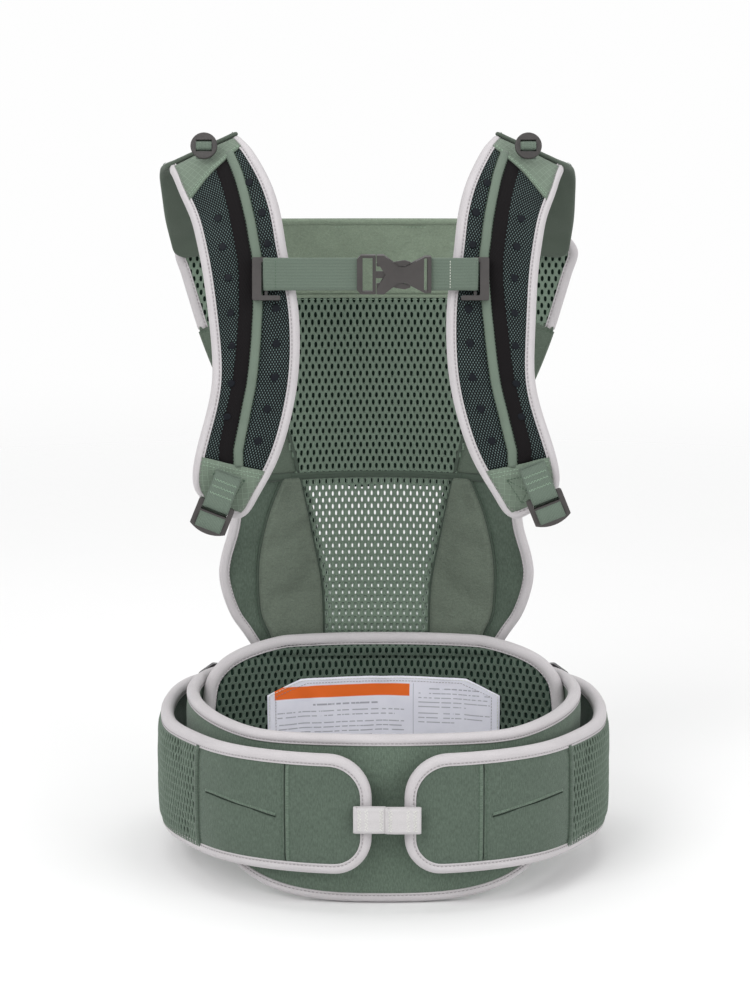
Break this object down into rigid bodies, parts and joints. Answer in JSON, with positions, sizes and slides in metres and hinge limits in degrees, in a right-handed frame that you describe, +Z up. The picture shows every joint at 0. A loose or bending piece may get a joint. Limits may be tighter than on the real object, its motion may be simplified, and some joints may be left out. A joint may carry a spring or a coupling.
{
  "type": "soft baby carrier",
  "caption": "Soft structured baby carrier: padded waist belt ring with opening wings, mesh back panel with seat, shoulder straps and a chest strap buckle.",
  "frame": {"origin": "centre of the waist ring's footprint, on the plane the belt stands on", "axes": "+Z up along the back panel, +Y from the belt's closing tapes towards the back panel, +X to the right seen from the closing side"},
  "size_m": [0.3726, 0.3005, 0.5973],
  "materials": {
    "knit_green": "brushed knit",
    "spacer_mesh_green": "open spacer mesh",
    "woven_green": "matt woven cloth",
    "ripstop_green": "ripstop weave",
    "webbing_green": "ribbed webbing",
    "piping_green": "woven piping",
    "binding_gray": "folded edge binding",
    "tape_gray": "flat woven tape",
    "strap_mesh_teal": "fine two-tone mesh",
    "buckle_plastic": "moulded acetal, satin",
    "gloss_plastic": "polished",
    "label_satin": "satin label"
  },
  "bodies": {
    "root": {"back_mesh": "spacer_mesh_green", "belt_back": "knit_green", "belt_back_binding": "binding_gray", "care_label": "label_satin", "head_band": "woven_green", "head_wing_left": "spacer_mesh_green", "head_wing_right": "spacer_mesh_green", "leg_edge_left": "knit_green", "leg_edge_right": "knit_green", "lumbar_belt": "knit_green", "lumbar_binding": "binding_gray", "seat_binding_left": "binding_gray", "seat_binding_right": "binding_gray", "seat_mesh": "spacer_mesh_green", "side_pad_left": "knit_green", "side_pad_right": "knit_green", "side_panel_left": "knit_green", "side_panel_right": "knit_green", "side_plate_left": "gloss_plastic", "side_plate_right": "gloss_plastic", "waist_binding": "binding_gray", "waist_panel": "spacer_mesh_green", "wing_edge_binding_left": "binding_gray", "wing_edge_binding_right": "binding_gray", "yoke_left": "woven_green", "yoke_right": "woven_green"},
    "wing_left": {"belt_wing_left": "knit_green", "wing_binding_left": "binding_gray", "closure_tab_left": "tape_gray"},
    "strap_left": {"strap_pad_left": "knit_green", "strap_binding_left": "binding_gray", "strap_mesh_left": "strap_mesh_teal", "strap_rail_left": "piping_green", "strap_top_patch_left": "ripstop_green", "strap_end_patch_left": "ripstop_green", "strap_end_tape_left": "webbing_green"},
    "lock_left": {"ladder_lock_left": "buckle_plastic"},
    "disc_left": {"toggle_disc_left": "buckle_plastic"},
    "wing_right": {"belt_wing_right": "knit_green", "wing_binding_right": "binding_gray", "closure_tab_right": "tape_gray"},
    "strap_right": {"strap_pad_right": "knit_green", "strap_binding_right": "binding_gray", "strap_mesh_right": "strap_mesh_teal", "strap_rail_right": "piping_green", "strap_top_patch_right": "ripstop_green", "strap_end_patch_right": "ripstop_green", "strap_end_tape_right": "webbing_green"},
    "lock_right": {"ladder_lock_right": "buckle_plastic"},
    "disc_right": {"toggle_disc_right": "buckle_plastic"},
    "chest_left": {"chest_slider_left": "buckle_plastic", "chest_webbing_left": "webbing_green"},
    "chest_right": {"chest_slider_right": "buckle_plastic", "chest_webbing_right": "webbing_green", "chest_buckle_housing": "buckle_plastic"},
    "buckle_insert": {"chest_buckle_insert": "buckle_plastic"},
    "latch_upper": {"latch_arm_upper": "buckle_plastic"},
    "latch_lower": {"latch_arm_lower": "buckle_plastic"}
  },
  "joints": [
    {"name": "strap_swing_left", "type": "hinge", "parent": "root", "child": "strap_left", "pos_m": [-0.114, -0.00474, 0.594], "axis": [-1, 0, 0], "range_deg": [-4, 30]},
    {"name": "strap_swing_right", "type": "hinge", "parent": "root", "child": "strap_right", "pos_m": [0.086, -0.00474, 0.594], "axis": [-1, 0, 0], "range_deg": [-4, 30]},
    {"name": "chest_height_left", "type": "slide", "parent": "strap_left", "child": "chest_left", "axis": [0, 0.2147, 0.9767], "range_m": [-0.022, 0.022]},
    {"name": "chest_height_right", "type": "slide", "parent": "strap_right", "child": "chest_right", "axis": [0, 0.2147, 0.9767], "range_m": [-0.022, 0.022]},
    {"name": "chest_release", "type": "slide", "parent": "chest_left", "child": "buckle_insert", "axis": [-1, 0, 0], "range_m": [0, 0.028]},
    {"name": "latch_pinch_upper", "type": "hinge", "parent": "buckle_insert", "child": "latch_upper", "pos_m": [-0.0055, -0.08564, 0.5027], "axis": [0, 1, 0], "range_deg": [0, 7]},
    {"name": "latch_pinch_lower", "type": "hinge", "parent": "buckle_insert", "child": "latch_lower", "pos_m": [-0.0055, -0.08564, 0.4863], "axis": [0, -1, 0], "range_deg": [0, 7]},
    {"name": "lock_tilt_left", "type": "hinge", "parent": "strap_left", "child": "lock_left", "pos_m": [-0.12962, -0.10474, 0.31738], "axis": [-0.9272, 0, 0.3746], "range_deg": [0, 40]},
    {"name": "lock_tilt_right", "type": "hinge", "parent": "strap_right", "child": "lock_right", "pos_m": [0.12332, -0.10474, 0.32438], "axis": [-0.9272, 0, -0.3746], "range_deg": [0, 40]},
    {"name": "disc_tilt_left", "type": "hinge", "parent": "strap_left", "child": "disc_left", "pos_m": [-0.1405, -0.02474, 0.587], "axis": [-1, 0, 0], "range_deg": [-25, 35]},
    {"name": "disc_tilt_right", "type": "hinge", "parent": "strap_right", "child": "disc_right", "pos_m": [0.11226, -0.02474, 0.587], "axis": [-1, 0, 0], "range_deg": [-25, 35]},
    {"name": "wing_open_left", "type": "hinge", "parent": "root", "child": "wing_left", "pos_m": [-0.1522, -0.07613, 0.07], "axis": [0, 0, -1], "range_deg": [0, 50]},
    {"name": "wing_open_right", "type": "hinge", "parent": "root", "child": "wing_right", "pos_m": [0.1522, -0.07613, 0.07], "axis": [0, 0, 1], "range_deg": [0, 50]}
  ],
  "couplings": [
    {"joint": "strap_swing_right", "follows": "strap_swing_left", "ratio": 1},
    {"joint": "chest_height_right", "follows": "chest_height_left", "ratio": 1},
    {"joint": "latch_pinch_lower", "follows": "latch_pinch_upper", "ratio": 1}
  ]
}
